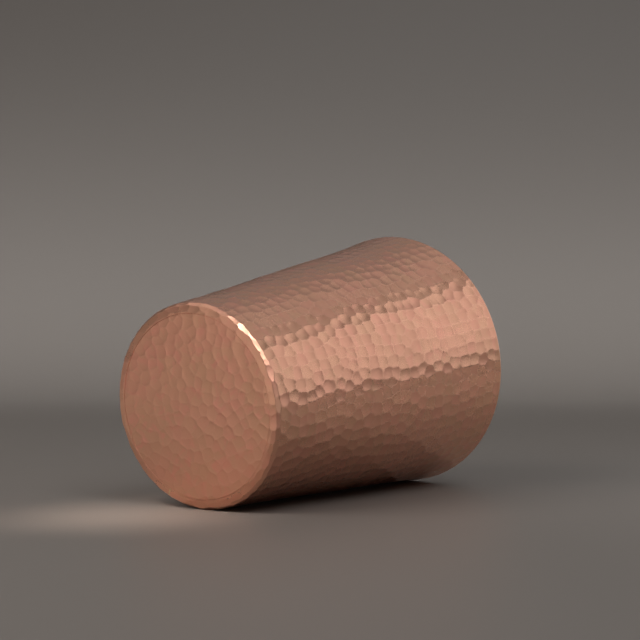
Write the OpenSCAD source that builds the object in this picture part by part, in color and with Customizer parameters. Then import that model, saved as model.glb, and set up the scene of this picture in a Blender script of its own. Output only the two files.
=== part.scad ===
// Hammered copper tumbler, standing on its base with its mouth up.
// The wall is one sheet, rolled, butt-brazed up the side, flared at the mouth and turned
// in at the foot. A base disc is let into the turned-in foot with a half lap and brazed.
// The hammer marks are shallow finish, so the surfaces here are the ones they are struck on.

/* [Body] */
// Height from the face it stands on to the top of the lip
height = 101; // [85:1:120]
// Outside diameter at the foot
foot_d = 60.6; // [56:0.2:66]
// Outside diameter a quarter of the way up
lower_d = 64.2; // [62:0.2:67]
// Outside diameter six tenths of the way up
belly_d = 70.6; // [68:0.2:73]
// Outside diameter where the flare begins, eight tenths of the way up
waist_d = 73.8; // [71:0.2:76]
// Outside diameter that the flare runs out to at the mouth
mouth_d = 78.5; // [76:0.5:84]

/* [Sheet] */
// Thickness of the wall's sheet
wall_t = 1.2; // [0.8:0.1:1.6]
// Thickness of the base disc
base_t = 1.6; // [1.6:0.1:2.4]
// Outside radius of the edge where the foot is turned in
corner_r = 2.2; // [2:0.1:3]

/* [Brazed joints] */
// How far the base disc laps over the turned-in foot
lap_w = 1; // [0.6:0.1:2]
// Thickness of the foot under the lap
lap_t = 0.6; // [0.4:0.1:0.7]
// Width of the brazed seam up the side
seam_w = 0.5; // [0.3:0.1:0.8]
// Direction of the side seam around the cup, in degrees from +X
seam_angle = 115; // [0:5:355]

/* [Hidden] */

copper = "#b87355";
braze_alloy = "#c9a05f";
round_fn = 180;
wall_steps = 32;
corner_steps = 8;
fillet_steps = 5;
lip_steps = 10;

// Stations up the wall: height and outside radius
station_z = [0, 0.25, 0.6, 0.8, 1] * height;
station_r = [foot_d, lower_d, belly_d, waist_d, mouth_d] / 2;
last = len(station_z) - 1;

// Slope of the outline at station i: between its neighbours, or run on to an end
function secant(i, j) = (station_r[j] - station_r[i]) / (station_z[j] - station_z[i]);
function station_slope(i) =
    i == 0 ? 2 * secant(0, 1) - secant(0, 2) :
    i == last ? 2 * secant(last - 1, last) - secant(last - 2, last) :
    secant(i - 1, i + 1);

// The span of two stations that height z lies in, and how far along the span it is
function span_of(z, i = 0) = i == last - 1 || z <= station_z[i + 1] ? i : span_of(z, i + 1);
function span_h(i) = station_z[i + 1] - station_z[i];
function along(z, i) = (z - station_z[i]) / span_h(i);

// Outside radius and slope at height z: one smooth cubic in each span
function cubic_r(i, t) =
    (1 + 2 * t) * pow(1 - t, 2) * station_r[i]
    + t * pow(1 - t, 2) * span_h(i) * station_slope(i)
    + t * t * (3 - 2 * t) * station_r[i + 1]
    - t * t * (1 - t) * span_h(i) * station_slope(i + 1);
function cubic_slope(i, t) =
    6 * t * (1 - t) * secant(i, i + 1)
    + (1 - t) * (1 - 3 * t) * station_slope(i)
    + t * (3 * t - 2) * station_slope(i + 1);
function outer_r(z) = cubic_r(span_of(z), along(z, span_of(z)));
function lean(z) = atan(cubic_slope(span_of(z), along(z, span_of(z))));

// A point in the sheet at height z on its outside, depth d in from that face
function sheet_point(z, d) = [outer_r(z) - d * cos(lean(z)), z + d * sin(lean(z))];

// The rounded foot: its centre is corner_r above the face it stands on
foot_lean = lean(corner_r);
foot_z = corner_r * (1 - sin(foot_lean));
corner_centre = [outer_r(foot_z) - corner_r * cos(foot_lean), corner_r];
function corner_point(r, i) =
    let (a = -90 + i * (90 - foot_lean) / corner_steps)
    corner_centre + r * [cos(a), sin(a)];

// The half-round lip: its centre is half a sheet below the top
lip_lean = lean(height);
lip_z = height - wall_t / 2 * (1 + sin(lip_lean));
lip_centre = sheet_point(lip_z, wall_t / 2);
function lip_point(i) =
    let (a = -lip_lean + i * 180 / lip_steps)
    lip_centre + wall_t / 2 * [cos(a), sin(a)];

function wall_z(i) = foot_z + (lip_z - foot_z) * i / wall_steps;

lap_r = corner_centre.x;
disc_r = lap_r - lap_w;

outside = concat(
    [for (i = [0:corner_steps - 1]) corner_point(corner_r, i)],
    [for (i = [0:wall_steps - 1]) sheet_point(wall_z(i), 0)]);
lip = [for (i = [0:lip_steps]) lip_point(i)];
inside = concat(
    [for (i = [wall_steps - 1:-1:0]) sheet_point(wall_z(i), wall_t)],
    [for (i = [corner_steps - 1:-1:0]) corner_point(corner_r - wall_t, i)]);
lap_step = [[lap_r, lap_t], [disc_r, lap_t], [disc_r, 0]];

// The whole sheet, before it is split along the side seam
module sheet() {
    rotate_extrude($fn = round_fn) polygon(concat(outside, lip, inside, lap_step));
}

// A flat slot from the axis out through one side of the wall
module seam_slot() {
    rotate([0, 0, seam_angle]) translate([0, -seam_w / 2, -1]) cube([mouth_d, seam_w, height + 2]);
}

module wall() {
    color(copper) difference() {
        sheet();
        seam_slot();
    }
}

module side_braze() {
    color(braze_alloy) intersection() {
        sheet();
        seam_slot();
    }
}

module base_disc() {
    color(copper) union() {
        cylinder(r = disc_r, h = lap_t, $fn = round_fn);
        translate([0, 0, lap_t]) cylinder(r = lap_r, h = base_t - lap_t, $fn = round_fn);
    }
}

// The fillet of filler run into the groove around the top of the disc
module base_braze() {
    groove = [for (i = [0:fillet_steps]) corner_point(corner_r - wall_t, i)];
    color(braze_alloy) rotate_extrude($fn = round_fn) polygon(concat(groove, [[lap_r, base_t]]));
}

wall();
base_disc();
base_braze();
side_braze();
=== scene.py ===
"""A hand-hammered copper tumbler, in metres, standing on its base at the origin, mouth at +Z.

The studio lies on its side around it: its floor touches the cup's foot and lip on the +Y side,
so that the camera sees the cup lying down with its base in front.
"""

import math

import bmesh
import bpy
import numpy as np
from mathutils import Matrix, Vector
from mathutils.kdtree import KDTree


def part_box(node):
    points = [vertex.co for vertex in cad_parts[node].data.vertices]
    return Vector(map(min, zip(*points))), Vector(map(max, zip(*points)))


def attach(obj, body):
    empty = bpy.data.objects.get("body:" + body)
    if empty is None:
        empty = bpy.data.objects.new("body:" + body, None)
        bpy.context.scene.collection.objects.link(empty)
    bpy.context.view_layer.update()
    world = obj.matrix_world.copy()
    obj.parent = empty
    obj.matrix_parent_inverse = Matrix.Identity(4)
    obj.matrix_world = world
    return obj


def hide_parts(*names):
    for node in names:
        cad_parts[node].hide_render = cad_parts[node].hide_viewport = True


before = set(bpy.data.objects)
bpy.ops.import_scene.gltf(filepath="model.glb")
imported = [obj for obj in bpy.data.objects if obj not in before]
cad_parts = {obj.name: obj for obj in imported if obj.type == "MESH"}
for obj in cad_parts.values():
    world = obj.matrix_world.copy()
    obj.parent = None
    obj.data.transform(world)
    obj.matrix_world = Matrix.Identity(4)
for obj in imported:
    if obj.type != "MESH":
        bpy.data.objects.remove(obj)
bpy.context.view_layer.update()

MM = 0.001
SEED = 20
RNG = np.random.default_rng(SEED)

# ---------------------------------------- sizes read from the frame


def node_points(node):
    """The vertices of a CAD node, as rows of x, y, z."""
    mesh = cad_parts[node].data
    points = np.empty(3 * len(mesh.vertices), np.float32)
    mesh.vertices.foreach_get("co", points)
    return points.reshape(-1, 3).astype(float)


def outer_outline(points):
    """Heights and radii of the wall's outside, lowest first, from its vertices. A vertex is on
    the outside if none at about its height is much further out."""
    same_height, much_further = 4 * MM, 0.8 * MM
    radius = np.hypot(points[:, 0], points[:, 1])
    pairs = np.unique(np.round(np.column_stack([points[:, 2], radius]), 6), axis=0)
    outside = []
    for z, r in pairs:
        widest = pairs[np.abs(pairs[:, 0] - z) < same_height, 1].max()
        if r > widest - much_further:
            outside.append((z, r))
    return np.array(outside)


disc_points = node_points("base_disc")
disc_radii = np.hypot(disc_points[:, 0], disc_points[:, 1])
seam_points = node_points("side_braze")

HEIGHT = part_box("wall")[1].z
BASE_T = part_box("base_disc")[1].z                            # thickness of the base disc
LAP_R = disc_radii.max()                                     # its upper step, over the foot
DISC_R = disc_radii[disc_points[:, 2] < 0.1 * MM].max()      # its lower step, seen from below
LAP_T = disc_points[disc_radii > 0.5 * (LAP_R + DISC_R), 2].min()   # of the foot under the lap
SEAM_ANGLE = math.atan2(seam_points[:, 1].mean(), seam_points[:, 0].mean())
SEAM_HALF = np.abs(seam_points @ [-math.sin(SEAM_ANGLE), math.cos(SEAM_ANGLE), 0]).max()

# The wall's outside between its rounded foot and its rounded lip, as a smooth curve.
FIT_FROM, FIT_TO = 3 * MM, HEIGHT - 1.5 * MM
FIT_DEGREE = 6
outline = outer_outline(node_points("wall"))
outline = outline[(outline[:, 0] > FIT_FROM) & (outline[:, 0] < FIT_TO)]
OUTLINE_FIT = np.polyfit(outline[:, 0] / HEIGHT, outline[:, 1], FIT_DEGREE)
SLOPE_FIT = np.polyder(OUTLINE_FIT)


def outer_r(z):
    """Outside radius at height z."""
    return np.polyval(OUTLINE_FIT, z / HEIGHT)


def lean(z):
    """How far the wall leans out at height z, in radians."""
    return np.arctan(np.polyval(SLOPE_FIT, z / HEIGHT) / HEIGHT)


WALL_T = 1.2 * MM        # thickness of the wall's sheet, as in the CAD
CORNER_R = (outer_r(2 * MM) - LAP_R) / math.cos(lean(2 * MM))   # of the foot's rounded edge
FOOT_LEAN = lean(CORNER_R)
FOOT_Z = CORNER_R * (1 - math.sin(FOOT_LEAN))
LIP_R = WALL_T / 2
LIP_LEAN = lean(HEIGHT)
LIP_Z = HEIGHT - LIP_R * (1 + math.sin(LIP_LEAN))
LIP_CENTRE = (outer_r(LIP_Z) - LIP_R * math.cos(LIP_LEAN), LIP_Z + LIP_R * math.sin(LIP_LEAN))

GAP = 0.01 * MM          # left between pieces that touch
SOFT_EDGE = 0.14 * MM    # radius worn on the edges beside the base's seam

# ---------------------------------------- outlines of the pieces
# An outline is a list of rows: radius, height, and the surface's normal in that plane.


def arc(centre, radius, start, end, steps, outward=1):
    """An arc from start to end, in radians from +r towards +z."""
    angles = np.linspace(start, end, steps + 1)
    cos, sin = np.cos(angles), np.sin(angles)
    return np.column_stack([centre[0] + radius * cos, centre[1] + radius * sin,
                            outward * cos, outward * sin])


def line(start, end, steps, normal):
    """A straight run from start to end."""
    t = np.linspace(0, 1, steps + 1)[:, None]
    points = (1 - t) * np.array(start) + t * np.array(end)
    return np.hstack([points, np.tile(normal, (steps + 1, 1))])


def wall_run(z_from, z_to, steps, depth, outward=1):
    """The wall between two heights, at a depth in from its outside."""
    z = np.linspace(z_from, z_to, steps + 1)
    cos, sin = np.cos(lean(z)), np.sin(lean(z))
    return np.column_stack([outer_r(z) - depth * cos, z + depth * sin, outward * cos, -outward * sin])


def facing(run, normal):
    """The same run with one normal all along it, so that blows push it one way."""
    return np.hstack([run[:, :2], np.tile(normal, (len(run), 1))])


def joined(*runs):
    """Runs end to end as one outline, without repeated points."""
    rows = np.vstack(runs)
    step = np.hypot(*np.diff(rows[:, :2], axis=0).T)
    return rows[np.concatenate([[True], step > 1e-6])]


DOWN = -math.pi / 2
foot_centre = (LAP_R, CORNER_R)
groove_edge = (DISC_R + GAP + SOFT_EDGE, SOFT_EDGE)

EDGE_STEPS = 3
FOOT_STEPS = 12
WALL_STEPS = 178
LIP_STEPS = 8
INSIDE_STEPS = 64
lip_normal = (math.cos(LIP_LEAN), -math.sin(LIP_LEAN))

OUTSIDE = joined(
    facing(arc(groove_edge, SOFT_EDGE, -math.pi, DOWN, EDGE_STEPS), (0, -1)),
    line((groove_edge[0], 0), (LAP_R, 0), 2, (0, -1)),
    arc(foot_centre, CORNER_R, DOWN, -FOOT_LEAN, FOOT_STEPS),
    wall_run(FOOT_Z, LIP_Z, WALL_STEPS, 0),
    facing(arc(LIP_CENTRE, LIP_R, -LIP_LEAN, math.pi - LIP_LEAN, LIP_STEPS), lip_normal))
INSIDE = joined(
    wall_run(LIP_Z, FOOT_Z, INSIDE_STEPS, WALL_T, -1),
    arc(foot_centre, CORNER_R - WALL_T, -FOOT_LEAN, DOWN, 5, -1),
    line((LAP_R, LAP_T), (DISC_R + GAP, LAP_T), 1, (0, 1)))[1:]

# ---------------------------------------- hammer marks
# A mark is a shallow dish in a frame of its own: n out of the surface, u towards the mouth
# (or across the base) and v around the cup. It is struck with a slight tilt, so that its far
# edge cuts a rounded step into the marks beside it.
#
# PITCH is the distance between marks, STRAY how far one strays from its place, in pitches, HALF
# half its width, DEPTH how far it sinks, DISH the radius of its hollow, RIM how steeply its edge
# rises, and LEAN how far n is off true. Angles are in radians, and a pair goes with u and v. A
# SPREAD, and a STRAY, is the standard deviation of what chance adds.

WALL_PITCH = (4.15 * MM, 3.5 * MM)
WALL_STRAY = (0.14, 0.12)
WALL_HALF = (2.75 * MM, 2.25 * MM)
WALL_HALF_SPREAD = 0.06              # as a share of its size
WALL_DEPTH = 0.20 * MM
WALL_DEPTH_SPREAD = 0.007 * MM
WALL_DISH = 22 * MM
WALL_RIM = 0.5 * MM
WALL_TILT = (0.004, 0.008)
WALL_TILT_SPREAD = (0.010, 0.012)
WALL_LEAN_SPREAD = 0.010
WALL_TURN_SPREAD = 0.10              # of u, about n
WALL_FIRST_RING = 0.25               # how far up the first ring is, in pitches
WALL_TOP_SPARE = 0.05                # and how far below the lip the last one is

# Each row of the foot: where it is on the turned edge, its depth, and its half width along u.
FOOT_ROWS = ((math.radians(-77), 0.26 * MM, 1.7 * MM), (math.radians(-35), 0.20 * MM, 1.3 * MM))
FOOT_PITCH = 4.0 * MM                # around, in both rows
FOOT_STRAY = 0.07
FOOT_ANGLE_SPREAD = 0.03             # of the place on the turned edge, in radians
FOOT_HALF_AROUND = 2.6 * MM
FOOT_DEPTH_SPREAD = 0.015 * MM
FOOT_DISH = 40 * MM
FOOT_RIM = 0.6 * MM
FOOT_TILT_SPREAD = 0.01
FOOT_LEAN_SPREAD = 0.035

BASE_PITCH = 2.8 * MM
BASE_PITCH_RANGE = (0.85, 1.15)      # as a share of the pitch
BASE_HALF = 0.62                     # as a share of the gap to its neighbours
BASE_HALF_RANGES = ((0.95, 1.15), (0.9, 1.1))
BASE_DEPTH = 0.12 * MM
BASE_DEPTH_SPREAD = 0.005 * MM
BASE_DISH = 33 * MM
BASE_RIM = 0.3 * MM
BASE_TILT = 0.003
BASE_LEAN_SPREAD = 0.008

NEAREST = 12                         # marks that can reach one point


class Marks:
    """All the hammer marks, as arrays with one row for each mark."""

    def __init__(self):
        self.rows = []

    def strike(self, centre, n, u, depth, half, dish, tilt, rim):
        """One blow. half is its reach along u and v, and rim is how steeply its edge rises."""
        v = np.cross(n, u)
        self.rows.append(np.concatenate([centre, n, u, v, [depth], half, [dish], tilt, [rim]]))

    def finish(self):
        """Sorts the marks into arrays, gives each a tone and makes them quick to find."""
        table = np.array(self.rows)
        self.centre, self.n, self.u, self.v = (table[:, i:i + 3] for i in (0, 3, 6, 9))
        self.depth, self.dish, self.rim = table[:, 12], table[:, 15], table[:, 18]
        self.half, self.tilt = table[:, 13:15], table[:, 16:18]
        self.tone = RNG.random(len(table))
        self.tree = KDTree(len(table))
        for i, centre in enumerate(self.centre):
            self.tree.insert(centre, i)
        self.tree.balance()

    def near(self, points):
        """The nearest marks to each point."""
        return np.array([[hit[1] for hit in self.tree.find_n(p, NEAREST)] for p in points])

    def cut(self, points, normals, near):
        """How deep each near mark cuts at each point, along its normal, and how that changes."""
        away = points[:, None, :] - self.centre[near]
        u = np.einsum("ijk,ijk->ij", away, self.u[near])
        v = np.einsum("ijk,ijk->ij", away, self.v[near])
        w = np.einsum("ijk,ijk->ij", away, self.n[near])
        hu, hv = self.half[near, 0], self.half[near, 1]
        rho = np.sqrt((u / hu) ** 2 + (v / hv) ** 2) + 1e-9
        over = np.maximum(rho - 1, 0)
        rim, dish, tilt = self.rim[near], self.dish[near], self.tilt[near]
        depth = self.depth[near] + w + tilt[..., 0] * u + tilt[..., 1] * v
        depth = depth - (u * u + v * v) / (2 * dish) - rim * over ** 2
        slope = 2 * rim * over / rho
        du = tilt[..., 0] - u / dish - slope * u / hu ** 2
        dv = tilt[..., 1] - v / dish - slope * v / hv ** 2
        facing_share = np.einsum("ijk,ik->ij", self.n[near], normals)
        least = 0.5          # a mark that faces further away than this cuts nothing
        depth = np.where(facing_share > least, depth / np.maximum(facing_share, least), -1)
        change = (du[..., None] * self.u[near] + dv[..., None] * self.v[near] + self.n[near])
        return depth, change


def turned(n, u, amount):
    """u turned about n by an angle."""
    return math.cos(amount) * u + math.sin(amount) * np.cross(n, u)


def leaning(n, spread):
    """n knocked off true by a random angle of about that spread, in radians."""
    n = n + RNG.normal(0, spread, 3)
    return n / np.linalg.norm(n)


def square_to(n, u):
    """u made square to n."""
    u = u - n * np.dot(n, u)
    return u / np.linalg.norm(u)


def around(theta, r, z):
    """A point at angle theta."""
    return np.array([r * math.cos(theta), r * math.sin(theta), z])


def direction(theta, rise):
    """A unit vector out at angle theta, rising by an angle."""
    return np.array([math.cos(theta) * math.cos(rise), math.sin(theta) * math.cos(rise),
                     math.sin(rise)])


def strike_wall(marks):
    """Rings of marks up the wall, each ring set a little off from the last."""
    rings = round((LIP_Z - FOOT_Z) / WALL_PITCH[0])
    ring_height = (LIP_Z - FOOT_Z) / (rings + WALL_FIRST_RING + WALL_TOP_SPARE)
    for k in range(rings + 1):
        ring_z = FOOT_Z + (k + WALL_FIRST_RING) * ring_height
        count = round(2 * math.pi * outer_r(ring_z) / WALL_PITCH[1])
        shift = RNG.random()
        for j in range(count):
            theta = 2 * math.pi * (j + shift + RNG.normal(0, WALL_STRAY[1])) / count
            z = ring_z + RNG.normal(0, WALL_STRAY[0]) * WALL_PITCH[0]
            n = leaning(direction(theta, -lean(z)), WALL_LEAN_SPREAD)
            u = square_to(n, np.array([0, 0, 1.0]))
            u = turned(n, u, RNG.normal(0, WALL_TURN_SPREAD))
            half = np.array(WALL_HALF) * RNG.normal(1, WALL_HALF_SPREAD)
            tilt = [mean + RNG.normal(0, spread) for mean, spread in zip(WALL_TILT, WALL_TILT_SPREAD)]
            depth = WALL_DEPTH + RNG.normal(0, WALL_DEPTH_SPREAD)
            place = around(theta, outer_r(z), z)
            marks.strike(place, n, u, depth, half, WALL_DISH, tilt, WALL_RIM)


def strike_foot(marks):
    """Two rows of narrow flats around the turned edge of the foot."""
    for row, (angle, row_depth, half_along) in enumerate(FOOT_ROWS):
        r = foot_centre[0] + CORNER_R * math.cos(angle)
        z = foot_centre[1] + CORNER_R * math.sin(angle)
        count = round(2 * math.pi * r / FOOT_PITCH)
        for j in range(count):
            theta = 2 * math.pi * (j + 0.5 * row + RNG.normal(0, FOOT_STRAY)) / count
            tip = angle + RNG.normal(0, FOOT_ANGLE_SPREAD)
            n = leaning(direction(theta, tip), FOOT_LEAN_SPREAD)
            u = square_to(n, direction(theta, tip + math.pi / 2))
            depth = row_depth + RNG.normal(0, FOOT_DEPTH_SPREAD)
            half = (half_along, FOOT_HALF_AROUND)
            tilt = (0, RNG.normal(0, FOOT_TILT_SPREAD))
            marks.strike(around(theta, r, z), n, u, depth, half, FOOT_DISH, tilt, FOOT_RIM)


def scattered(radius, pitch, tries=6000):
    """Points in a disc, none nearer to another than a pitch that varies a little, and the pitch
    of each."""
    kept = np.empty((0, 2))
    gaps = np.empty(0)
    for _ in range(tries):
        r, theta = radius * math.sqrt(RNG.random()), 2 * math.pi * RNG.random()
        point = np.array([r * math.cos(theta), r * math.sin(theta)])
        gap = pitch * RNG.uniform(*BASE_PITCH_RANGE)
        if not len(kept) or (np.hypot(*(kept - point).T) > (gaps + gap) / 2).all():
            kept = np.vstack([kept, point])
            gaps = np.append(gaps, gap)
    return kept, gaps


def strike_base(marks):
    """Overlapping marks scattered over the base, each struck its own way."""
    past_the_edge = 0.3 * MM
    points, gaps = scattered(LAP_R + past_the_edge, BASE_PITCH)
    for (x, y), gap in zip(points, gaps):
        n = leaning(np.array([0, 0, -1.0]), BASE_LEAN_SPREAD)
        u = square_to(n, np.array([1.0, 0, 0]))
        way = RNG.uniform(0, 2 * math.pi)
        tilt = BASE_TILT * np.array([math.cos(way), math.sin(way)])
        half = BASE_HALF * gap * np.array([RNG.uniform(*limits) for limits in BASE_HALF_RANGES])
        depth = BASE_DEPTH + RNG.normal(0, BASE_DEPTH_SPREAD)
        u = turned(n, u, RNG.uniform(0, math.pi))
        marks.strike(np.array([x, y, 0]), n, u, depth, half, BASE_DISH, tilt, BASE_RIM)


MARKS = Marks()
strike_wall(MARKS)
strike_foot(MARKS)
strike_base(MARKS)
MARKS.finish()

# ---------------------------------------- hammered skins


def run_along(rows):
    """How far each row of an outline is along it."""
    return np.concatenate([[0], np.cumsum(np.hypot(*np.diff(rows[:, :2], axis=0).T))])


def relief(points, normals, near):
    """The deepest cut at each point, the mark that makes it, and the way to the nearest ridge."""
    depth, change = MARKS.cut(points, normals, near)
    order = np.argsort(-depth, axis=1)[:, :2]
    row = np.arange(len(points))
    first, second = order[:, 0], order[:, 1]
    gap = depth[row, first] - depth[row, second]
    turn = change[row, first] - change[row, second]
    turn -= normals * np.einsum("ij,ij->i", turn, normals)[:, None]
    size = np.maximum(np.einsum("ij,ij->i", turn, turn), 1e-8)
    step = -turn * (gap / size)[:, None]
    return depth[row, first], near[row, first], step


CREST_HALF = 0.45 * MM   # half the width of the crest pushed up along each ridge
# How far a point slides, as a share of the grid's spacing.
ONTO_RIDGE = 0.6         # the furthest that one is taken onto a ridge
CORRECTION = 0.3         # the furthest that it is moved again, to sit on it exactly
FOLLOW = 0.35            # how far one about a cell away follows, to even out the cells
FOLLOW_WIDTH = 1.2       # how quickly that falls off for the others
FOLLOW_MOST = 0.6        # the most of its own way to the ridge that a follower goes


class Skin:
    """A grid of points on a smooth surface. They slide along it to the ridges between marks."""

    def hammer(self):
        """Slides points onto the ridges between marks, and returns the struck surface."""
        points, normals = self.places()
        near = MARKS.near(points)
        _, owner, step = relief(points, normals, near)
        distance = np.linalg.norm(step, axis=1)
        within_reach = distance < ONTO_RIDGE * self.spacing
        on_ridge = self.nearest_to_crossing(owner, distance) & within_reach
        far = distance / self.spacing
        pull = np.minimum(FOLLOW * np.exp(-((far - 1) ** 2) / FOLLOW_WIDTH), FOLLOW_MOST * far)
        pull = pull * self.spacing / np.maximum(distance, 1e-9)
        self.slide(step * np.where(on_ridge, 1.0, pull)[:, None])
        points, normals = self.places()
        _, _, step = relief(points, normals, near)
        again = on_ridge & (np.linalg.norm(step, axis=1) < CORRECTION * self.spacing)
        self.slide(step * np.where(again, 1.0, 0.0)[:, None])
        points, normals = self.places()
        depth, owner, step = relief(points, normals, near)
        to_crest = np.maximum(1 - np.linalg.norm(step, axis=1) / CREST_HALF, 0)
        depth = depth - self.crest * to_crest ** 2
        self.owner = np.where(on_ridge, -1, owner).reshape(self.shape)
        self.tone = MARKS.tone[owner]
        self.ridge = np.where(on_ridge, 1.0, 0.0)
        self.points = points - normals * (np.maximum(depth, 0) * self.fade())[:, None]
        return self.points

    def nearest_to_crossing(self, owner, distance):
        """True for the end nearer the ridge, on every grid edge that crosses one."""
        owner, distance = owner.reshape(self.shape), distance.reshape(self.shape)
        chosen = np.zeros(self.shape, bool)
        everything, first, last = slice(None), slice(None, -1), slice(1, None)
        down_columns = ((first, everything), (last, everything))
        along_rows = ((everything, first), (everything, last))
        for a, b in (down_columns, along_rows):
            crosses = owner[a] != owner[b]
            nearer = distance[a] <= distance[b]
            chosen[a] |= crosses & nearer
            chosen[b] |= crosses & ~nearer
        return chosen.ravel()

    def faces(self):
        """Triangles over the grid, cut so that ridges run along their edges."""
        a, b, c, d = quads(self.shape)
        owner, points = self.owner.ravel(), self.points
        ac_crosses = (owner[a] != owner[c]) & (owner[a] >= 0) & (owner[c] >= 0)
        bd_crosses = (owner[b] != owner[d]) & (owner[b] >= 0) & (owner[d] >= 0)
        shorter = (np.linalg.norm(points[b] - points[d], axis=1)
                   < np.linalg.norm(points[a] - points[c], axis=1))
        use_bd = (ac_crosses | (shorter & ~bd_crosses))[:, None]
        first = np.where(use_bd, np.column_stack([a, b, d]), np.column_stack([a, b, c]))
        second = np.where(use_bd, np.column_stack([b, c, d]), np.column_stack([a, c, d]))
        return [tuple(f) for f in np.vstack([first, second]).tolist()]


def quads(shape, start=0):
    """The four corners of each cell of a grid of points, as flat arrays."""
    index = np.arange(shape[0] * shape[1]).reshape(shape) + start
    return (index[:-1, :-1].ravel(), index[:-1, 1:].ravel(),
            index[1:, 1:].ravel(), index[1:, :-1].ravel())


class TurnedSkin(Skin):
    """A skin of revolution: one row of points for each row of an outline. held_rows don't slide
    along it, and fade says how much of the hammering shows at each distance along it."""

    spacing = 0.55 * MM
    crest = 0.010 * MM

    def __init__(self, rows, thetas, held_rows, fade):
        self.rows, self.shape, self.held_rows, self.fade_along = rows, thetas.shape, held_rows, fade
        self.run = run_along(rows)
        self.s = np.repeat(self.run[:, None], thetas.shape[1], axis=1)
        self.theta = thetas.copy()

    def places(self):
        """Points and normals, and for slide() the way along the outline and the way around."""
        s, theta = self.s.ravel(), self.theta.ravel()
        r, z, nr, nz = (np.interp(s, self.run, self.rows[:, i]) for i in range(4))
        size = np.hypot(nr, nz)
        nr, nz = nr / size, nz / size
        cos, sin = np.cos(theta), np.sin(theta)
        self.radius = r
        self.along = np.column_stack([-nz * cos, -nz * sin, nr])
        self.sideways = np.column_stack([-sin, cos, np.zeros_like(sin)])
        return np.column_stack([r * cos, r * sin, z]), np.column_stack([nr * cos, nr * sin, nz])

    def slide(self, step):
        """Moves the points by a step in space. The ends of the grid stay in line."""
        ds = np.einsum("ij,ij->i", step, self.along).reshape(self.shape)
        dt = (np.einsum("ij,ij->i", step, self.sideways) / self.radius).reshape(self.shape)
        ds[self.held_rows] = 0
        dt[:, [0, -1]] = 0
        self.s += ds
        self.theta += dt

    def fade(self):
        """How much of the hammering shows at each point."""
        return self.fade_along(self.s.ravel())


class FlatSkin(Skin):
    """A face of the base disc: a square grid pulled out to a circle."""

    crest = 0.018 * MM

    def __init__(self, radius, steps, z):
        t = np.linspace(-1, 1, steps + 1)
        x, y = np.meshgrid(t, t)
        self.shape, self.z = x.shape, z
        self.spacing = 1.8 * radius / steps
        self.x = radius * y * np.sqrt(1 - x * x / 2)
        self.y = radius * x * np.sqrt(1 - y * y / 2)

    def places(self):
        """Points and normals, which all point down."""
        down = np.tile([0.0, 0.0, -1.0], (self.x.size, 1))
        return np.column_stack([self.x.ravel(), self.y.ravel(), np.full(self.x.size, self.z)]), down

    def slide(self, step):
        """Moves the points by a step in space. The edge of the disc stays in place."""
        inner = np.zeros(self.shape)
        inner[1:-1, 1:-1] = 1
        self.x += step[:, 0].reshape(self.shape) * inner
        self.y += step[:, 1].reshape(self.shape) * inner

    def fade(self):
        """All of the hammering shows."""
        return 1.0


# ---------------------------------------- the pieces

SHARP_ANGLE = math.radians(50)
CUP_ONLY = bpy.data.collections.new("cup_only")   # what the lights kept for the cup shine on


def bridge(ring_a, ring_b):
    """Triangles between two open rings of vertex numbers; the second may have half the steps."""
    faces = []
    ratio = (len(ring_a) - 1) // (len(ring_b) - 1)
    for j in range(len(ring_b) - 1):
        a = ring_a[j * ratio:(j + 1) * ratio + 1]
        middle = len(a) // 2
        for i in range(len(a) - 1):
            faces.append((a[i], a[i + 1], ring_b[j] if i < middle else ring_b[j + 1]))
        faces.append((ring_b[j], a[middle], ring_b[j + 1]))
    return faces


def face_outward(mesh):
    """Turns every face of a closed mesh outward."""
    shell = bmesh.new()
    shell.from_mesh(mesh)
    bmesh.ops.recalc_face_normals(shell, faces=shell.faces)
    shell.to_mesh(mesh)
    shell.free()


def new_piece(name, points, faces, material, node, values=()):
    """A closed mesh that stands for a CAD node and rides on the root. Its faces may turn either
    way, and values are (label, one number for each point) pairs for the material."""
    mesh = bpy.data.meshes.new(name)
    mesh.from_pydata(points.tolist(), [], faces)
    face_outward(mesh)
    for label, data in values:
        attribute = mesh.attributes.new(label, "FLOAT", "POINT")
        attribute.data.foreach_set("value", np.asarray(data, np.float32))
    mesh.shade_smooth()
    mesh.set_sharp_from_angle(angle=SHARP_ANGLE)
    mesh.materials.append(material)
    piece = bpy.data.objects.new(name, mesh)
    bpy.context.scene.collection.objects.link(piece)
    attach(piece, "root")
    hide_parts(node)
    CUP_ONLY.objects.link(piece)


SHOW_THROUGH = 0.35             # how much of each blow shows on the far side of the sheet
SHOW_THROUGH_FROM = 0.1 * MM    # cuts that are less deep don't show
SHOW_THROUGH_MOST = 0.2 * MM    # how much deeper than that a cut can count for
RIDGE_BLEND = 0.03 * MM         # how softly neighbouring blows meet there


def show_through(points, normals, thickness):
    """How far the blows outside push the inside of the sheet in, with their ridges softened."""
    outside = points - normals * thickness
    depth, _ = MARKS.cut(outside, -normals, MARKS.near(outside))
    top = depth.max(axis=1)
    soft = top + RIDGE_BLEND * np.log(np.exp((depth - top[:, None]) / RIDGE_BLEND).sum(axis=1))
    return SHOW_THROUGH * np.clip(soft - SHOW_THROUGH_FROM, 0, SHOW_THROUGH_MOST)


def spun(rows, thetas, start):
    """Points or normals of an unstruck surface: columns start and start + 1 of its outline, spun."""
    out, up = rows[:, start:start + 1], rows[:, start + 1:start + 2]
    x, y = out * np.cos(thetas), out * np.sin(thetas)
    return np.column_stack([x.ravel(), y.ravel(), np.broadcast_to(up, x.shape).ravel()])


def wall_thetas(rows, columns):
    """Angles of an open ring at each row, from one side of the seam round to the other."""
    gap = np.arcsin(SEAM_HALF / rows[:, :1])
    t = np.linspace(0, 1, columns + 1)[None, :]
    return SEAM_ANGLE + gap + (2 * math.pi - 2 * gap) * t


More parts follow.
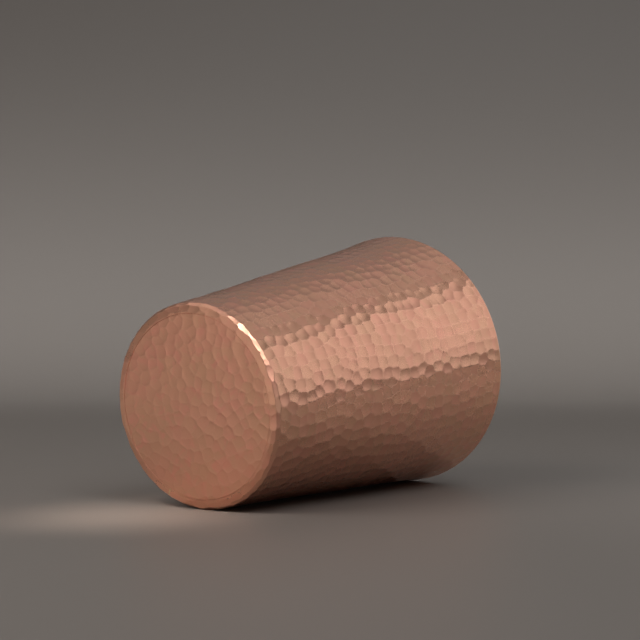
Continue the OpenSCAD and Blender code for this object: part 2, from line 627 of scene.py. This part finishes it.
def seam_thetas(rows, columns):
    """Angles across the filled seam at each row."""
    gap = np.arcsin((SEAM_HALF - GAP / 2) / rows[:, :1])
    t = np.linspace(-1, 1, columns + 1)[None, :]
    return SEAM_ANGLE + gap * t


def lip_fade(s):
    """Full hammering on the wall, fading out over the lip."""
    run = run_along(OUTSIDE)
    lip_start = run[-1 - LIP_STEPS]
    fade_start = lip_start - 1.2 * MM
    return np.interp(s, [fade_start, lip_start, run[-1]], [1, 0.6, 0])


def end_cap(outer_edge, inner_edge):
    """Triangles that close one end of the sheet, between its outside and its inside edge."""
    left, right = outer_edge.tolist(), inner_edge.tolist()[::-1]
    faces = []
    i = j = 0
    while i < len(left) - 1 or j < len(right) - 1:
        left_share, right_share = i / (len(left) - 1), j / (len(right) - 1)
        if left_share < 1 and (left_share <= right_share or right_share == 1):
            faces.append((left[i], left[i + 1], right[j]))
            i += 1
        else:
            faces.append((left[i], right[j + 1], right[j]))
            j += 1
    return faces


def mark_values(skin, unstruck):
    """The tone of each point's mark and whether it lies on a ridge, with plain values for the
    unstruck points that follow."""
    return [("tone", np.concatenate([skin.tone, np.full(unstruck, 0.5)])),
            ("ridge", np.concatenate([skin.ridge, np.zeros(unstruck)]))]


def sheet_piece(name, columns, inner_columns, thetas_of, proud, material, node):
    """A strip of the hammered sheet, closed all round: outside, lip, inside, lap and both ends.
    thetas_of gives its angles at each row of an outline, and proud is how far it stands out."""
    held = list(range(EDGE_STEPS + 1)) + list(range(-LIP_STEPS - 1, 0))
    thetas = thetas_of(OUTSIDE, columns)
    skin = TurnedSkin(OUTSIDE, thetas, held, lip_fade)
    outer = skin.hammer() + proud * spun(OUTSIDE, thetas, 2)
    inner_thetas = thetas_of(INSIDE, inner_columns)
    inner, normals = spun(INSIDE, inner_thetas, 0), spun(INSIDE, inner_thetas, 2)
    struck = slice(0, INSIDE_STEPS * (inner_columns + 1))
    fade_heights = [FOOT_Z, 3 * FOOT_Z, LIP_Z - 2 * MM, LIP_Z]
    share = np.interp(inner[struck, 2], fade_heights, [0, 1, 1, 0])
    push = show_through(inner[struck], normals[struck], WALL_T) * share
    inner[struck] += normals[struck] * push[:, None]
    index = np.arange(len(outer)).reshape(skin.shape)
    inner_index = np.arange(len(inner)).reshape(inner_thetas.shape) + len(outer)
    faces = skin.faces()
    faces += bridge(index[-1].tolist(), inner_index[0].tolist())
    faces += np.column_stack(quads(inner_thetas.shape, len(outer))).tolist()
    faces += bridge(index[0].tolist(), inner_index[-1].tolist())
    faces += end_cap(index[:, 0], inner_index[:, 0])
    faces += end_cap(index[:, -1], inner_index[:, -1])
    points = np.vstack([outer, inner])
    new_piece(name, points, faces, material, node, mark_values(skin, len(inner)))


def loop_around(shape, start=0):
    """Vertex numbers around the edge of a grid, back to the first."""
    index = np.arange(shape[0] * shape[1]).reshape(shape) + start
    loop = np.concatenate([index[0, :-1], index[:-1, -1], index[-1, :0:-1], index[:0:-1, 0]])
    return loop.tolist() + [int(loop[0])]


def disc_piece(name, steps, material, node):
    """The base disc: hammered underside, lapped edge and the floor of the cup."""
    edge_r = DISC_R - GAP
    skin = FlatSkin(edge_r - SOFT_EDGE, steps, 0)
    under = skin.hammer()
    floor = FlatSkin(LAP_R - GAP, steps // 2, BASE_T)
    top, down = floor.places()
    top[:, 2] += show_through(top, -down, BASE_T)
    loop = loop_around(skin.shape)
    rim_thetas = np.arctan2(under[loop[:-1], 1], under[loop[:-1], 0])[None, :]
    rise = under[loop[:-1], 2]
    rings = joined(arc((edge_r - SOFT_EDGE, SOFT_EDGE), SOFT_EDGE, DOWN, 0, EDGE_STEPS)[1:],
                   line((edge_r, LAP_T + GAP), (LAP_R - GAP, LAP_T + GAP), 1, (0, -1)))
    rim = spun(rings, np.repeat(rim_thetas, len(rings), axis=0), 0)
    count = rim_thetas.size
    for ring in range(EDGE_STEPS):
        rim[ring * count:(ring + 1) * count, 2] += rise
    rim_start, top_start = len(under), len(under) + len(rim)
    faces = skin.faces()
    last = loop
    for ring in range(len(rings)):
        numbers = list(range(rim_start + ring * count, rim_start + (ring + 1) * count))
        numbers.append(numbers[0])
        faces += bridge(last, numbers)
        last = numbers
    faces += bridge(last, loop_around(floor.shape, top_start))
    faces += np.column_stack(quads(floor.shape, top_start)).tolist()
    points = np.vstack([under, rim, top])
    new_piece(name, points, faces, material, node, mark_values(skin, len(rim) + len(top)))


BEAD_REACH = 0.9 * MM    # how far the bead climbs the wall


def bead_ripple(angles, size):
    """A slow random unevenness around the bead, as a sum of waves."""
    waves = (5, 9, 16, 27)
    return size * sum(RNG.uniform(0.5, 1) * np.sin(n * angles + RNG.uniform(0, 6)) for n in waves)


def bead_face(ripple):
    """The hollow face of the bead, as radii and heights from the disc up to the wall."""
    corner = (LAP_R - 0.45 * MM, BASE_T)
    wall_touch = (LAP_R + CORNER_R - WALL_T - 0.05 * MM, BASE_T + BEAD_REACH)
    steps, deepest = 7, 0.30 * MM
    diagonal = 0.7           # share of the hollow and the ripple that goes along r, and along z
    rows = []
    for i in range(steps + 1):
        t = i / steps
        sag = diagonal * deepest * math.sin(math.pi * t)
        wave = diagonal * ripple * (1 if 0 < i < steps else 0.5)
        r = (1 - t) * corner[0] + t * wall_touch[0] + sag
        z = (1 - t) * corner[1] + t * wall_touch[1] - sag
        rows.append((r - wave, z + wave))
    return rows


def bead_back(columns):
    """The back of the bead, just inside the wall and the disc."""
    rows = ((LAP_R + CORNER_R - WALL_T + 0.1 * MM, BASE_T + 0.6 * BEAD_REACH),
            (LAP_R + 0.62 * MM, BASE_T - 0.30 * MM),
            (LAP_R, LAP_T + 0.62 * MM),
            (LAP_R - 0.45 * MM, BASE_T - 0.08 * MM))
    return [(np.full(columns, r), np.full(columns, z)) for r, z in rows]


def bead_piece(name, columns, material, node):
    """The fillet of filler around the floor of the cup, with a hollow, slightly uneven face."""
    angles = np.linspace(0, 2 * math.pi, columns, endpoint=False)
    rows = bead_face(bead_ripple(angles, 0.03 * MM)) + bead_back(columns)
    points = [np.column_stack([r * np.cos(angles), r * np.sin(angles), z]) for r, z in rows]
    faces = []
    for i in range(len(rows)):
        here, there = i * columns, ((i + 1) % len(rows)) * columns
        for j in range(columns):
            k = (j + 1) % columns
            faces.append((here + j, there + j, there + k, here + k))
    new_piece(name, np.vstack(points), faces, material, node)


# ---------------------------------------- materials

COLOUR_A, COLOUR_B, MIXED_COLOUR = 6, 7, 2   # a Mix node's sockets when it mixes colours


class Shader:
    """Short ways to add nodes to a new material."""

    def __init__(self, name):
        self.material = bpy.data.materials.new(name)
        self.material.use_nodes = True
        self.tree = self.material.node_tree
        self.surface = self.tree.nodes["Principled BSDF"]
        self.place = self.tree.nodes.new("ShaderNodeTexCoord").outputs["Object"]

    def link(self, source, socket):
        """Joins an output to an input."""
        self.tree.links.new(source, socket)

    def noise(self, scale, detail, stretch=None, distortion=0.0):
        """Noise of that many features per metre, or scale times stretch along x, y and z."""
        node = self.tree.nodes.new("ShaderNodeTexNoise")
        node.inputs["Scale"].default_value = scale
        node.inputs["Detail"].default_value = detail
        node.inputs["Distortion"].default_value = distortion
        place = self.place
        if stretch:
            mapping = self.tree.nodes.new("ShaderNodeMapping")
            mapping.inputs["Scale"].default_value = stretch
            self.link(place, mapping.inputs["Vector"])
            place = mapping.outputs["Vector"]
        self.link(place, node.inputs["Vector"])
        return node.outputs["Fac"]

    def attribute(self, name):
        """A value kept with the mesh's points."""
        node = self.tree.nodes.new("ShaderNodeAttribute")
        node.attribute_name = name
        return node.outputs["Fac"]

    def ranged(self, value, low, high, to_low, to_high):
        """value from low..high to to_low..to_high, held at the ends."""
        node = self.tree.nodes.new("ShaderNodeMapRange")
        node.inputs["From Min"].default_value = low
        node.inputs["From Max"].default_value = high
        node.inputs["To Min"].default_value = to_low
        node.inputs["To Max"].default_value = to_high
        self.link(value, node.inputs["Value"])
        return node.outputs["Result"]

    def sum(self, *values):
        """All the values added up."""
        total = values[0]
        for value in values[1:]:
            node = self.tree.nodes.new("ShaderNodeMath")
            node.operation = "ADD"
            self.link(total, node.inputs[0])
            self.link(value, node.inputs[1])
            total = node.outputs["Value"]
        return total

    def height(self):
        """Height above the foot, in metres."""
        node = self.tree.nodes.new("ShaderNodeSeparateXYZ")
        self.link(self.place, node.inputs["Vector"])
        return node.outputs["Z"]

    def mixed(self, amount, first, second):
        """A colour between two, each a colour or a socket."""
        node = self.tree.nodes.new("ShaderNodeMix")
        node.data_type = "RGBA"
        self.link(amount, node.inputs["Factor"])
        for number, colour in ((COLOUR_A, first), (COLOUR_B, second)):
            if isinstance(colour, tuple):
                node.inputs[number].default_value = (*colour, 1)
            else:
                self.link(colour, node.inputs[number])
        return node.outputs[MIXED_COLOUR]

    def bump(self, height, distance, under=None):
        """Raises the surface by height times distance, on top of another bump if one is given."""
        node = self.tree.nodes.new("ShaderNodeBump")
        node.inputs["Distance"].default_value = distance
        self.link(height, node.inputs["Height"])
        if under:
            self.link(under, node.inputs["Normal"])
        self.link(node.outputs["Normal"], self.surface.inputs["Normal"])
        return node.outputs["Normal"]

    def metal(self, colour, roughness):
        """Makes the surface bare metal."""
        self.surface.inputs["Metallic"].default_value = 1.0
        self.link(colour, self.surface.inputs["Base Color"])
        self.link(roughness, self.surface.inputs["Roughness"])


COPPER = (0.88, 0.452, 0.308)
COPPER_PINK = (0.915, 0.420, 0.308)
COPPER_TAN = (0.83, 0.450, 0.295)
# a lighter copper painted along the ridges as a highlight
COPPER_RIDGE_HIGHLIGHT = (0.92, 0.500, 0.355)
BRAZE = (0.88, 0.62, 0.36)
BRAZE_DARK = (0.70, 0.42, 0.22)


def copper_material(name, pinkness, dullness, foot_dullness):
    """Satin hammered copper: drifting tone, a tone for each mark, a painted highlight that lightens
    the colour along the ridges, and fine grain.
    pinkness is the strength of its pink patches, and dullness and foot_dullness its roughness
    on the whole and at its foot."""
    foot_top, wall_start = 1.6 * MM, 3.4 * MM
    shader = Shader(name)
    drift = shader.noise(70, 3.0, distortion=0.6)
    patches = shader.noise(190, 4.0, distortion=1.0)
    grain = shader.noise(5200, 3.0)
    brushed = shader.noise(1, 3.0, stretch=(700, 700, 7000))
    tone, ridge = shader.attribute("tone"), shader.attribute("ridge")
    colour = shader.mixed(shader.ranged(drift, 0.35, 0.65, 0, 1), COPPER, COPPER_TAN)
    colour = shader.mixed(shader.ranged(tone, 0.3, 1.0, 0, 0.45), colour, COPPER_PINK)
    colour = shader.mixed(shader.ranged(patches, 0.52, 0.66, 0, pinkness), colour, COPPER_PINK)
    # painted highlight: the colour is lightened towards the ridges between marks
    colour = shader.mixed(shader.ranged(ridge, 0.4, 1.0, 0, 0.4), colour, COPPER_RIDGE_HIGHLIGHT)
    roughness = shader.sum(shader.ranged(drift, 0.3, 0.7, dullness - 0.02, dullness + 0.03),
                           shader.ranged(grain, 0.3, 0.7, -0.03, 0.03),
                           shader.ranged(tone, 0.0, 1.0, -0.02, 0.02),
                           shader.ranged(ridge, 0.4, 1.0, 0.0, -0.03),
                           shader.ranged(shader.height(), foot_top, wall_start,
                                         foot_dullness - dullness, 0.0))
    shader.metal(colour, roughness)
    planished = shader.bump(shader.noise(850, 2.0), 0.014 * MM)
    shader.bump(shader.sum(grain, brushed), 0.002 * MM, planished)
    return shader.material


def braze_material(name):
    """Filler metal: yellower than the copper, duller where flux has stained it."""
    shader = Shader(name)
    stain = shader.noise(300, 4.0, distortion=0.8)
    grain = shader.noise(4000, 3.0)
    colour = shader.mixed(shader.ranged(stain, 0.45, 0.70, 0, 0.8), BRAZE, BRAZE_DARK)
    roughness = shader.sum(shader.ranged(stain, 0.4, 0.7, 0.28, 0.42),
                           shader.ranged(grain, 0.3, 0.7, -0.03, 0.03))
    shader.metal(colour, roughness)
    shader.bump(shader.sum(stain, grain), 0.008 * MM)
    return shader.material


# ---------------------------------------- the cup

WALL_COLUMNS = 408
SEAM_COLUMNS = 2
SEAM_PROUD = -0.02 * MM  # filed a little below the wall
DISC_STEPS = 168
BEAD_COLUMNS = 240

copper_wall = copper_material("hammered_copper_wall", pinkness=0.5, dullness=0.29, foot_dullness=0.32)
copper_base = copper_material("hammered_copper_base", pinkness=0.9, dullness=0.40, foot_dullness=0.40)
braze = braze_material("braze_alloy")

sheet_piece("hammered_wall", WALL_COLUMNS, WALL_COLUMNS // 2, wall_thetas, 0, copper_wall,
            "wall")
sheet_piece("side_seam_filler", SEAM_COLUMNS, SEAM_COLUMNS, seam_thetas, SEAM_PROUD, braze,
            "side_braze")
disc_piece("hammered_base_disc", DISC_STEPS, copper_base, "base_disc")
bead_piece("base_fillet_filler", BEAD_COLUMNS, braze, "base_braze")

# ---------------------------------------- the studio, lying on its side
# The cup lies on the floor along a line from its foot to its lip. Directions in the studio are
# ahead (away from the camera), right, and up.


def lying_angle():
    """Angle between the cup's axis and the floor that touches both its foot and its lip."""
    rise = LIP_CENTRE[0] - foot_centre[0]
    run = LIP_CENTRE[1] - foot_centre[1]
    return math.atan2(rise, run) - math.asin((CORNER_R - LIP_R) / math.hypot(rise, run))


YAW = math.radians(37.34)            # between the cup's length and the camera's view
PITCH = math.radians(2.65)           # how far the camera looks down
TILT = lying_angle()
UP = Vector((0, -math.cos(TILT), math.sin(TILT)))
LENGTHWAYS = Vector((0, math.sin(TILT), math.cos(TILT)))
ACROSS = Vector((1, 0, 0))
RIGHT = math.sin(YAW) * LENGTHWAYS + math.cos(YAW) * ACROSS
AHEAD = math.cos(YAW) * LENGTHWAYS - math.sin(YAW) * ACROSS
FLOOR = -UP * (foot_centre[0] * math.cos(TILT) - foot_centre[1] * math.sin(TILT) + CORNER_R)

CAMERA_DISTANCE = 719.3 * MM         # from the middle of the base, along the view
CAMERA_RIGHT = 35.89 * MM            # the middle of the base is this far left of the view's centre
CAMERA_UP = 25.09 * MM               # and this far below it
CAMERA_LENS = 140.6                  # in millimetres, on a sensor 36 mm wide


def studio(right, ahead, up):
    """A point in the studio, in metres from the floor under the middle of the base."""
    return FLOOR + right * RIGHT + ahead * AHEAD + up * UP


def placed(obj, place, side, up, back):
    """Adds an object to the scene. side, up and back are where its x, y and z axes point."""
    bpy.context.scene.collection.objects.link(obj)
    turn = Matrix((side, up, back)).transposed()
    obj.matrix_world = Matrix.Translation(place) @ turn.to_4x4()
    return obj


def add_camera():
    """A long lens, level but for a slight look down."""
    data = bpy.data.cameras.new("camera")
    data.sensor_width = 36
    data.lens = CAMERA_LENS
    data.clip_start = 0.01
    forward = math.cos(PITCH) * AHEAD - math.sin(PITCH) * UP
    up = math.sin(PITCH) * AHEAD + math.cos(PITCH) * UP
    place = CAMERA_RIGHT * RIGHT + CAMERA_UP * up - CAMERA_DISTANCE * forward
    camera = placed(bpy.data.objects.new("camera", data), place, RIGHT, up, -forward)
    bpy.context.scene.camera = camera


def one_sided(name, colour, gloss, glow=(0, 0, 0)):
    """A plain matt surface, clear from behind, so that it never hides the cup in other views.
    glow is light of its own."""
    shader = Shader(name)
    shader.surface.inputs["Base Color"].default_value = (*colour, 1)
    shader.surface.inputs["Roughness"].default_value = 0.5
    shader.surface.inputs["Specular IOR Level"].default_value = gloss
    shader.surface.inputs["Emission Color"].default_value = (*glow, 1)
    shader.surface.inputs["Emission Strength"].default_value = 1.0
    nodes = shader.tree.nodes
    clear = nodes.new("ShaderNodeBsdfTransparent")
    mix = nodes.new("ShaderNodeMixShader")
    side = nodes.new("ShaderNodeNewGeometry")
    shader.link(side.outputs["Backfacing"], mix.inputs[0])
    shader.link(shader.surface.outputs["BSDF"], mix.inputs[1])
    shader.link(clear.outputs["BSDF"], mix.inputs[2])
    shader.link(mix.outputs["Shader"], nodes["Material Output"].inputs["Surface"])
    return shader.material


def stage_mesh(name, points, faces, material):
    """A sheet of the studio's paper."""
    mesh = bpy.data.meshes.new(name)
    mesh.from_pydata(points, [], faces)
    mesh.shade_smooth()
    mesh.materials.append(material)
    sheet = bpy.data.objects.new(name, mesh)
    bpy.context.scene.collection.objects.link(sheet)
    return sheet


def add_sweep(material):
    """The floor, curving up into a backdrop behind the cup."""
    front, curve_start, radius, top, half_width = -1.6, 0.41, 0.30, 0.31, 3.0
    floor_steps, curve_steps = 8, 28
    profile = [(front + (curve_start - front) * i / floor_steps, 0) for i in range(floor_steps + 1)]
    for i in range(1, curve_steps + 1):
        angle = 0.5 * math.pi * i / curve_steps
        profile.append((curve_start + radius * math.sin(angle), radius * (1 - math.cos(angle))))
    profile.append((curve_start + radius, top))
    points = [studio(side, ahead, up) for ahead, up in profile for side in (-half_width, half_width)]
    faces = [(2 * i, 2 * i + 1, 2 * i + 3, 2 * i + 2) for i in range(len(profile) - 1)]
    stage_mesh("studio_sweep", points, faces, material)


def add_table(material):
    """What the cup stands on in upright views. Only the camera sees it, and only from above."""
    half, drop = 3.0, 0.05 * MM
    points = [(-half, -half, -drop), (half, -half, -drop), (half, half, -drop), (-half, half, -drop)]
    table = stage_mesh("studio_table", points, [(0, 1, 2, 3)], material)
    table.visible_diffuse = False
    table.visible_glossy = False
    table.visible_transmission = False
    table.visible_shadow = False


def toward(azimuth, elevation):
    """A direction in the studio: azimuth from ahead towards the right, and elevation, in degrees."""
    a, e = math.radians(azimuth), math.radians(elevation)
    return math.cos(e) * (math.cos(a) * AHEAD + math.sin(a) * RIGHT) + math.sin(e) * UP


WHITE = (1, 1, 1)
WARM = (1, 0.93, 0.87)
FULL_BEAM = 180


def beam_share(beam):
    """How much less power a light needs for the same brightness on its axis, for a narrow beam."""
    half = math.radians(beam) / 2
    return 1.0 if beam >= FULL_BEAM else 1 - half / math.tan(half)


def area_light(name, size, energy, beam, tint, place, side, back):
    """A rectangular light that the camera doesn't see, facing away from back, its width along
    side. beam is how widely it shines, in degrees."""
    data = bpy.data.lights.new(name, "AREA")
    data.shape = "RECTANGLE"
    data.size, data.size_y = size
    data.energy = energy
    data.spread = math.radians(beam)
    data.color = tint
    light = placed(bpy.data.objects.new(name, data), place, side, back.cross(side), back)
    light.visible_camera = False
    return light


def keep_for(light, on):
    """Keeps a light for "matt" surfaces, for "shiny" ones, or for the "cup" alone, its shine only."""
    light.visible_diffuse = on in ("all", "matt")
    light.visible_glossy = on != "matt"
    if on == "cup":
        light.light_linking.receiver_collection = CUP_ONLY


MIDDLE = Vector((0, 0, HEIGHT / 2))                            # of the cup
FOOT = Vector((0, 0, 0))                                       # the middle of the base
RIM = 0.6 * LAP_R * ACROSS - 0.8 * LAP_R * Vector((0, 1, 0))   # upper right of the base as it lies


def add_panel(name, azimuth, elevation, distance, wide, tall, radiance, tint=WHITE, beam=FULL_BEAM,
              on="all", centre=MIDDLE):
    """A soft light facing a centre. wide and tall are the angles that it fills, in degrees, and
    radiance is how bright it looks on its axis."""
    width = 2 * distance * math.tan(math.radians(wide) / 2)
    height = 2 * distance * math.tan(math.radians(tall) / 2)
    energy = radiance * math.pi * width * height * beam_share(beam)
    back = toward(azimuth, elevation)
    side = UP.cross(back).normalized()
    place = centre + distance * back
    keep_for(area_light(name, (width, height), energy, beam, tint, place, side, back), on)


def add_floor_card(name, place, wide, deep, radiance):
    """A glow lying on the floor that only the cup's shine sees."""
    energy = radiance * math.pi * wide * deep
    keep_for(area_light(name, (wide, deep), energy, FULL_BEAM, WARM, place, RIGHT, -UP), "cup")


def add_aimed_light(name, place, target, size, energy, beam, tint=WHITE):
    """A narrow-beamed light that doesn't show in reflections, its width from left to right."""
    back = (place - target).normalized()
    side = back.cross(AHEAD).normalized()
    if side.dot(RIGHT) < 0:
        side = -side
    light = area_light(name, size, energy, beam, tint, place, side, back)
    light.visible_glossy = False


def add_world(colour):
    """A dim even light from all round."""
    world = bpy.data.worlds.new("studio")
    world.use_nodes = True
    world.node_tree.nodes["Background"].inputs["Color"].default_value = (*colour, 1)
    bpy.context.scene.world = world


PAPER = (0.205, 0.185, 0.170)
PAPER_GLOSS = 0.5

add_camera()
bpy.context.scene.view_settings.view_transform = "Standard"
add_sweep(one_sided("studio_paper", PAPER, PAPER_GLOSS))
add_table(one_sided("studio_table_paper", PAPER, PAPER_GLOSS, glow=(0.10, 0.09, 0.083)))
add_world((0.05, 0.046, 0.042))

# Panels: azimuth and elevation, distance, angles filled, and radiance.
add_panel("window_high", 78, 35, 1.2, 38, 23, 0.66, on="shiny")
add_panel("window_low", 84, 13, 0.6, 32, 23, 0.68, on="shiny")
add_panel("ceiling", 26, 36, 1.0, 76, 38, 0.20, on="shiny")
add_panel("overhead", 0, 88, 1.8, 72, 72, 0.34)
add_panel("mouth_light", 37, 8, 0.45, 34, 24, 1.3, beam=60, on="cup")
add_panel("card_left", -95, 5, 0.075, 120, 110, 0.16, WARM, on="cup", centre=FOOT)
add_panel("card_front_left", -140, 5, 0.12, 60, 90, 0.31, WARM, on="cup", centre=FOOT)
add_panel("fill_left", -120, 33, 0.7, 44, 36, 2.9, WARM, beam=168, on="matt")
add_panel("key_matt", 150, 51, 2.0, 24, 36, 3.6, beam=100, on="matt")
add_panel("key_shiny", 155, 50, 2.0, 30, 40, 1.7, on="shiny")
add_panel("card_high_left", -80, 52, 0.30, 60, 44, 0.26, WARM, on="cup", centre=FOOT)
add_panel("card_front_right", 150, 10, 0.16, 40, 46, 0.38, on="cup", centre=FOOT)
add_panel("rim_glint", 164, 64, 0.07, 46, 46, 5.5, beam=40, on="cup", centre=RIM)

# Floor cards: their middle, just above the floor, then width, depth and radiance.
add_floor_card("card_floor_left", studio(-0.10, -0.05, MM), 0.19, 0.20, 0.08)
add_floor_card("card_floor_right", studio(0.25, 0.08, MM), 0.34, 0.30, 0.025)
add_floor_card("card_floor_near", studio(0.22, 0.03, MM), 0.32, 0.36, 0.015)

add_aimed_light("backdrop_strip", studio(0, 0.12, 0.80), studio(0, 0.53, 0.05),
                size=(2.0, 0.10), energy=0.80, beam=29)
# The warm patch that the base throws on the floor
add_aimed_light("base_glow", studio(-0.140, -0.17, 0.29), studio(-0.018, -0.010, 0),
                size=(0.03, 0.03), energy=0.0085, beam=13, tint=(1, 0.80, 0.68))
add_aimed_light("floor_right", studio(0.38, 0.05, 0.20), studio(0.30, 0.05, 0),
                size=(0.12, 0.12), energy=0.13, beam=75)
